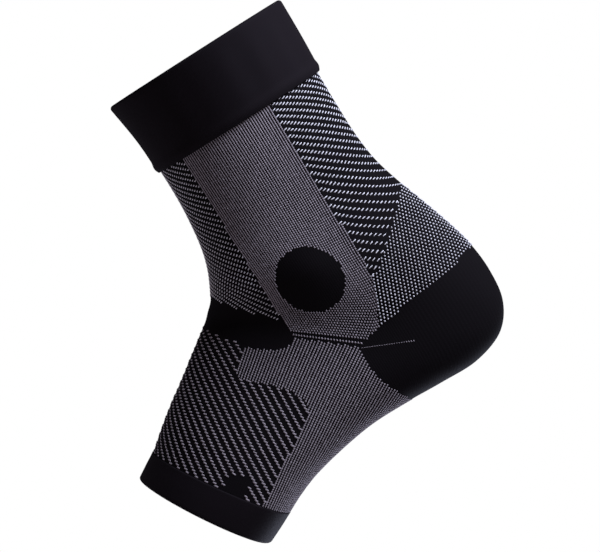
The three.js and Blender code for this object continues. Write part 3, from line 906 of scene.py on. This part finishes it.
class SLEEVE_OT_dotted_panel(bpy.types.Operator):
    """Dotted panel: black knit with a pale dot in every second stitch, over the lower tendon"""

    bl_idname = "sleeve.dotted_panel"
    bl_label = "Dotted panel"

    def execute(self, context):
        chart = chart_now()
        outline = zone_outlines(chart.form.sizes)["mesh"]
        patch = mesh_knit(chart)
        wall, stitches = knitted_wall(patch), Stitches(patch)
        panel = cut_panel(wall, "achilles_mesh_knit", outline)
        chosen = inside(outline, *stitches.side_view)
        chosen &= (stitches.wale + stitches.course) % 2 == 0
        name, turn = "achilles_mesh_dots", 80
        size = (chart.knit.dot_length, chart.knit.dot_width, 0.6 * MM)
        dots = add_stitches(name, stitches, chosen, BOTH, size, turn, pale_polyester_yarn)
        dress("achilles_mesh_panel", "dotted_knit", panel, dots)
        bpy.data.meshes.remove(wall.data)
        return {"FINISHED"}


class SLEEVE_OT_support_panels(bpy.types.Operator):
    """Support panels: a stitch of grey yarn in every loop, down both sides and round the arch"""

    bl_idname = "sleeve.support_panels"
    bl_label = "Support panels"

    def execute(self, context):
        chart = chart_now()
        knit, outlines = chart.knit, zone_outlines(chart.form.sizes)
        arch, stirrup, disc = outlines["arch"], outlines["stirrup"], outlines["disc"]
        rise = 0.3 * MM

        def loops(name, sign):
            return add_stitches(
                name, stitches, chosen, [sign], size, ALONG_WALE, grey_yarn_and_painted_shade
            )

        patch = LegKnit(chart)
        wall, stitches = knitted_wall(patch), Stitches(patch)
        bare_courses = [knit.leg_courses - 4, knit.leg_courses - 2]
        chosen = inside(stirrup, *stitches.side_view) & ~inside(disc, *stitches.side_view)
        chosen &= ~np.isin(stitches.course, bare_courses)
        size = (knit.side_loop_length, knit.side_loop_width, rise)
        for side, sign in SIDES.items():
            panel = cut_panel(wall, f"{side}_stirrup_knit", stirrup, sign, disc)
            yarns = loops(f"{side}_stirrup_loops", sign)
            dress(f"{side}_stirrup", "support_knit", panel, yarns)
        bpy.data.meshes.remove(wall.data)

        patch = foot_knit(chart)
        wall, stitches = knitted_wall(patch), Stitches(patch)
        panel = cut_panel(wall, "arch_wrap_knit", arch)
        chosen = inside(arch, *stitches.side_view)
        size = (knit.arch_loop_length, knit.arch_loop_width, rise)
        halves = [loops(f"arch_wrap_loops_{side}", sign) for side, sign in SIDES.items()]
        dress("arch_wrap", "support_knit", panel, *halves)
        bpy.data.meshes.remove(wall.data)
        return {"FINISHED"}


class SLEEVE_OT_plain_panels(bpy.types.Operator):
    """Plain panels: bare black knit on the instep band, the heel cup and the ankle discs"""

    bl_idname = "sleeve.plain_panels"
    bl_label = "Plain panels"

    def execute(self, context):
        chart = chart_now()
        f = chart.form.sizes
        outlines = zone_outlines(f)
        wall = knitted_wall(LegKnit(chart))
        band = cut_panel(wall, "instep_band_knit", outlines["instep_band"])
        dress("instep_band", "black_knit", band)
        for side, sign in SIDES.items():
            disc = cut_panel(wall, f"{side}_ankle_disc_knit", outlines["disc"], sign)
            dress(f"{side}_ankle_disc", "black_knit", disc)
        # The gore line runs into the heel cup from its front corner, and ends in slanted stitches
        corner = np.array([1.2 * f.heel_cup_front, -1.01 * f.heel_cup_drop])
        gore = Stitches(StraightKnit(chart, (-0.42, -0.907), corner, 1.15 * MM, 1 * MM, weight=1))
        line_stitches, straight_stitches, slant = 22, 18, 50
        line = (gore.course == 0) & (gore.wale >= 0) & (gore.wale < line_stitches)
        end = line & (gore.wale >= straight_stitches)
        extras = [
            add_stitches(name, gore, chosen, BOTH, size, turn, grey_yarn_and_painted_shade)
            for name, chosen, size, turn in (
                ("heel_cup_gore", line & ~end, (0.9 * MM, 0.2 * MM, 0.12 * MM), ALONG_COURSE),
                ("heel_cup_gore_end", end, (0.9 * MM, 0.42 * MM, 0.2 * MM), slant),
            )
        ]
        heel = cut_panel(wall, "heel_cup_knit", outlines["heel"])
        dress("heel_cup", "black_knit", heel, *extras)
        bpy.data.meshes.remove(wall.data)
        return {"FINISHED"}


WELT_COLUMNS = 200  # of 0.65 mm, down each side of a welt


def welt_map(profile, share):
    """A welt's columns and its run over the profile in millimetres."""
    steps = np.linalg.norm(np.diff(np.array(profile), axis=0), axis=1)
    run = np.cumsum(np.pad(steps, (1, 0))) / MM
    return np.stack([WELT_COLUMNS * share, np.broadcast_to(run[:, None], share.shape)], -1)


def folded_edge(outer, inner, edge, steps=9):
    """A welt's folded edge, half round, from its outer face over to its inner one."""
    middle, half = (inner + outer) / 2, (outer - inner) / 2
    angles = np.linspace(np.pi / 2, -np.pi / 2, steps)
    return [(middle + half * math.sin(a), edge - half + half * math.cos(a)) for a in angles]


# The cuff's hem, from under the lap round to its outer face: how far out in layers, how much of the
# bead is added, and how far up in layers
HEM = [
    (0, 0, 0.4),
    (0.15, 0, 0.05),
    (0.4, 0, 0),
    (0.7, 0, 0.25),
    (0.9, 0, 0.65),
    (1, 0.3, 1.2),
    (1, 0.8, 1.9),
    (1, 1, 2.7),
    (1, 0.8, 3.6),
    (1, 0.3, 4.6),
]


def waves(share, count, start):
    """Upright waves down each side, which start at a share of one."""
    return np.sin(2 * np.pi * (count * share + start))


class SLEEVE_OT_cuff(bpy.types.Operator):
    """Calf cuff: a doubled black welt whose outer layer laps down over the wall to a rolled hem"""

    bl_idname = "sleeve.calf_cuff"
    bl_label = "Calf cuff"

    def execute(self, context):
        chart = chart_now()
        knit, f = chart.knit, chart.form.sizes
        hem, layer, bead = f.cuff_reach - f.cuff_height, knit.welt_layer, knit.hem_bead
        lap = knit.panel_rise + SEAM
        inner, outer = -knit.wall, lap + layer
        lap_height = hem + LAP
        fold = f.cuff_reach - (outer - inner) / 2
        # From the lap's inner corner down to the hem, up the outer face, over the fold and down
        # the inner face
        profile = [
            *[(lap, z) for z in np.linspace(lap_height + SEAM, hem + 2 * layer, 5)],
            *[(lap + out * layer + proud * bead, hem + up * layer) for out, proud, up in HEM],
            *[(outer, z) for z in np.linspace(hem + 5.5 * layer, fold, 22)[:-1]],
            *folded_edge(outer, inner, f.cuff_reach),
            *[(inner, z) for z in np.linspace(fold, lap_height + SEAM, 20)[1:]],
        ]
        offsets, heights = np.array(profile).T[:, :, None]
        share = chart.round_shares
        turn = chart.look_up(chart.turns, 1.0, share)
        outside = offsets > 0
        low = np.clip((lap_height - heights) / LAP, 0, 1)
        heights = heights - low * knit.hem_sag * (1 - np.cos(4 * np.pi * turn)) / 2
        # The welt stands a little away from the leg here and there, in soft upright folds
        folds = 0.32 * waves(share, 9, 0.15) * share**2 + 0.2 * waves(share, 5, 0.6)
        swell = np.sin(np.pi * np.clip((heights - hem) / f.cuff_height, 0, 1)) ** 0.7
        offsets = offsets + outside * swell * folds * MM
        points, _, share = chart.rings(chart.form.level_of(heights), offsets)
        cuff = add_ring("calf_cuff_welt", points, welt_map(profile, share))
        dress("calf_cuff", "black_welt", material_for(cuff, black_nylon_welt))
        return {"FINISHED"}


class SLEEVE_OT_toe_band(bpy.types.Operator):
    """Toe band: a doubled black welt round the ball of the foot"""

    bl_idname = "sleeve.toe_band"
    bl_label = "Toe band"

    def execute(self, context):
        chart = chart_now()
        knit, height = chart.knit, chart.form.sizes.toe_band_height
        inner, outer = knit.toe_proud - knit.toe_thickness, knit.toe_proud
        fold = height - (outer - inner) / 2
        # From the end that meets the wall, its outer corner eased, over the fold and back inside
        profile = [
            (inner, 0.1 * MM),
            (outer - 0.3 * MM, 0.1 * MM),
            (outer, 0.5 * MM),
            *[(outer, reach) for reach in np.linspace(1 * MM, fold, 12)[:-1]],
            *folded_edge(outer, inner, height),
            *[(inner, reach) for reach in np.linspace(fold, 1 * MM, 10)[1:]],
        ]
        offsets, reaches = np.array(profile).T[:, :, None]
        places = chart.form.place_from_rim(height - reaches)
        points, _, share = chart.rings(places, offsets)
        band = add_ring("toe_band_welt", points, welt_map(profile, share))
        dress("toe_band", "black_welt", material_for(band, black_nylon_welt))
        return {"FINISHED"}


def add_light(name, towards, distance, size, watts, colour):
    """A soft light that stands in a direction from the sleeve and faces it."""
    place = Vector(towards).normalized() * distance
    deselect_all()
    turned = place.to_track_quat("Z", "Y").to_euler()
    bpy.ops.object.light_add(type="AREA", location=place, rotation=turned)
    light = bpy.context.object
    light.name = name
    light.data.size, light.data.energy, light.data.color = size, watts, linear(colour)


LIGHTS = [  # name, direction, distance and size in metres, watts and colour
    ("key", (0.9, -0.28, 0.45), 0.8, 0.4, 20, "#e6edff"),
    ("fill", (-0.85, -0.75, -0.3), 1.4, 0.8, 3.9, "#ffeff7"),
    ("shin_rim", (-0.85, 0.45, 0.1), 1.2, 0.6, 4, "#e9e6ff"),
    ("sole_rim", (0, 0.75, -0.95), 0.7, 0.4, 8, "#dfe6ff"),
]


class SLEEVE_OT_stage(bpy.types.Operator):
    """Stage: a pale floor below, soft studio light and the camera"""

    bl_idname = "sleeve.stage"
    bl_label = "Stage"

    def execute(self, context):
        scene = context.scene
        # The camera looks across the leg from the outer side, rolled so that the leg leans back
        roll, rise = math.radians(32.5), math.radians(3.3)
        right = Vector((math.cos(roll), 0, -math.sin(roll)))
        level_up = Vector((math.sin(roll), 0, math.cos(roll)))
        across = Vector((0, 1, 0))
        forward = math.cos(rise) * across - math.sin(rise) * level_up
        up = math.sin(rise) * across + math.cos(rise) * level_up
        distance, field, sensor = 2.0, 0.282, 36  # metres, metres across the picture, millimetres
        target = Vector((-4.1 * MM, 0, 2.3 * MM))
        place = target - distance * forward
        deselect_all()
        bpy.ops.object.camera_add(location=place)
        camera = context.object
        turned = Matrix((right, up, -forward)).transposed().to_4x4()
        camera.matrix_world = Matrix.Translation(place) @ turned
        camera.data.sensor_width = sensor
        camera.data.lens = sensor * distance / field
        camera.data.clip_start, camera.data.clip_end = 0.05, 20
        scene.camera = camera

        deselect_all()
        bpy.ops.mesh.primitive_circle_add(
            vertices=96, radius=2, fill_type="NGON", location=(0, 0, -0.7)
        )
        floor = context.object
        floor.name = "floor"
        material, tree, shader = new_surface("matt_paint_white", linear("#f2f2f2"), 0.9)
        set_bump(tree, shader, 0.2, 0.1 * MM, add_noise(tree, 4 * MM, 2.0))
        floor.data.materials.append(material)

        # The backdrop is white, and the room around it dimmer
        world = bpy.data.worlds.new("studio")
        world.use_nodes = True
        tree = world.node_tree
        room = tree.nodes["Background"]
        room.inputs["Color"].default_value = (1, 0.88, 0.94, 1)
        room.inputs["Strength"].default_value = 0.15
        backdrop = add_node(tree, "Background", {}, (1, 1, 1, 1), 1.0)[0]
        seen = add_node(tree, "LightPath", {})["Is Camera Ray"]
        mix = add_node(tree, "MixShader", {}, seen, room.outputs[0], backdrop)[0]
        tree.links.new(mix, tree.nodes["World Output"].inputs[0])
        scene.world = world
        for light in LIGHTS:
            add_light(*light)
        scene.view_settings.view_transform = "Standard"
        return {"FINISHED"}


STEPS = (
    SLEEVE_OT_rib_panels,
    SLEEVE_OT_dotted_panel,
    SLEEVE_OT_support_panels,
    SLEEVE_OT_plain_panels,
    SLEEVE_OT_cuff,
    SLEEVE_OT_toe_band,
    SLEEVE_OT_stage,
)


class SLEEVE_PT_sleeve(bpy.types.Panel):
    """Sizes, yarns and pieces of the sleeve"""

    bl_idname = "SLEEVE_PT_sleeve"
    bl_label = "Ankle sleeve"
    bl_space_type = "VIEW_3D"
    bl_region_type = "UI"
    bl_category = "Sleeve"

    def draw(self, context):
        scene = context.scene
        for group in (scene.sleeve_form, scene.sleeve_knit, scene.sleeve_colours):
            for name in group.__annotations__:
                self.layout.prop(group, name)
        for step in STEPS:
            self.layout.operator(step.bl_idname)


CLASSES = (SleeveForm, SleeveKnit, SleeveColours, *STEPS, SLEEVE_PT_sleeve)


def register():
    for cls in CLASSES:
        bpy.utils.register_class(cls)
    bpy.types.Scene.sleeve_form = PointerProperty(type=SleeveForm)
    bpy.types.Scene.sleeve_knit = PointerProperty(type=SleeveKnit)
    bpy.types.Scene.sleeve_colours = PointerProperty(type=SleeveColours)


def unregister():
    del bpy.types.Scene.sleeve_form, bpy.types.Scene.sleeve_knit, bpy.types.Scene.sleeve_colours
    for cls in reversed(CLASSES):
        bpy.utils.unregister_class(cls)


def main():
    register()
    for step in STEPS:
        area, name = step.bl_idname.split(".")
        getattr(getattr(bpy.ops, area), name)()


if __name__ == "__main__":
    main()
